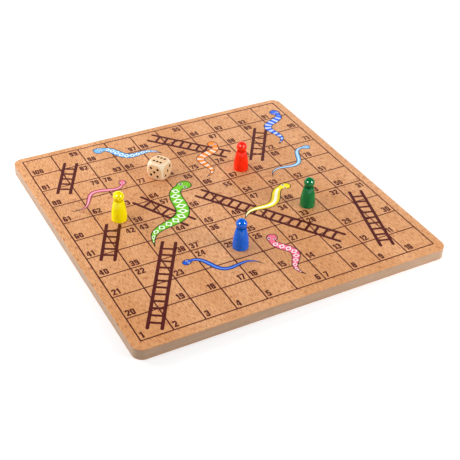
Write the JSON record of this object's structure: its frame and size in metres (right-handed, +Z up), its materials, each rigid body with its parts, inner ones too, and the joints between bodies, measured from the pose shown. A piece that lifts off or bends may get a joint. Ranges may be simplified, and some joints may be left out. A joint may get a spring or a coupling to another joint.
{
  "type": "snakes and ladders board",
  "caption": "Square wooden snakes and ladders board with a printed, numbered grid, ladders and snakes, with painted turned pawns and a rounded wooden die.",
  "frame": {"origin": "middle of the board's underside, on the surface that it rests on", "axes": "+Z up, out of the printed face; +X along the first row of squares, away from square one; +Y from the first row to the last"},
  "size_m": [0.26, 0.26, 0.0353],
  "materials": {
    "core": "raw sanded fibreboard edge, matt",
    "veneer": "beech veneer under a thin satin lacquer",
    "dark_ink": "dark brown print, matt",
    "green_ink": "printed ink, matt",
    "blue_ink": "printed ink, matt",
    "sky_ink": "printed ink, matt",
    "orange_ink": "printed ink, matt",
    "yellow_ink": "printed ink, matt",
    "pink_ink": "printed ink, matt",
    "yellow_paint": "turned wood under satin paint",
    "blue_paint": "turned wood under satin paint",
    "green_paint": "turned wood under satin paint",
    "red_paint": "turned wood under satin paint",
    "bare_wood": "pale tumbled wood, thin lacquer",
    "pip_paint": "black paint, matt"
  },
  "bodies": {
    "board": {"board_core": "core", "face_veneer": "veneer", "back_veneer": "veneer", "grid_print": "dark_ink", "ladder_1_to_38": "dark_ink", "ladder_9_to_31": "dark_ink", "ladder_13_to_56": "dark_ink", "ladder_40_to_59": "dark_ink", "ladder_44_to_63": "dark_ink", "ladder_68_to_89": "dark_ink", "ladder_74_to_96": "dark_ink", "ladder_80_to_99": "dark_ink", "green_snake": "green_ink", "blue_snake": "blue_ink", "sky_snake": "sky_ink", "orange_snake": "orange_ink", "yellow_snake": "yellow_ink", "pink_snake": "pink_ink", "slim_pink_snake": "pink_ink", "slim_sky_snake": "sky_ink", "slim_blue_snake": "blue_ink"},
    "yellow_pawn": {"yellow_pawn": "yellow_paint"},
    "blue_pawn": {"blue_pawn": "blue_paint"},
    "green_pawn": {"green_pawn": "green_paint"},
    "red_pawn": {"red_pawn": "red_paint"},
    "die": {"die": "bare_wood", "die_pips": "pip_paint"}
  },
  "joints": [
    {"name": "yellow_pawn_lift", "type": "slide", "parent": "board", "child": "yellow_pawn", "axis": [0, 0, 1], "range_m": [0, 0.06]},
    {"name": "blue_pawn_lift", "type": "slide", "parent": "board", "child": "blue_pawn", "axis": [0, 0, 1], "range_m": [0, 0.06]},
    {"name": "green_pawn_lift", "type": "slide", "parent": "board", "child": "green_pawn", "axis": [0, 0, 1], "range_m": [0, 0.06]},
    {"name": "red_pawn_lift", "type": "slide", "parent": "board", "child": "red_pawn", "axis": [0, 0, 1], "range_m": [0, 0.06]},
    {"name": "die_lift", "type": "slide", "parent": "board", "child": "die", "axis": [0, 0, 1], "range_m": [0, 0.06]}
  ]
}
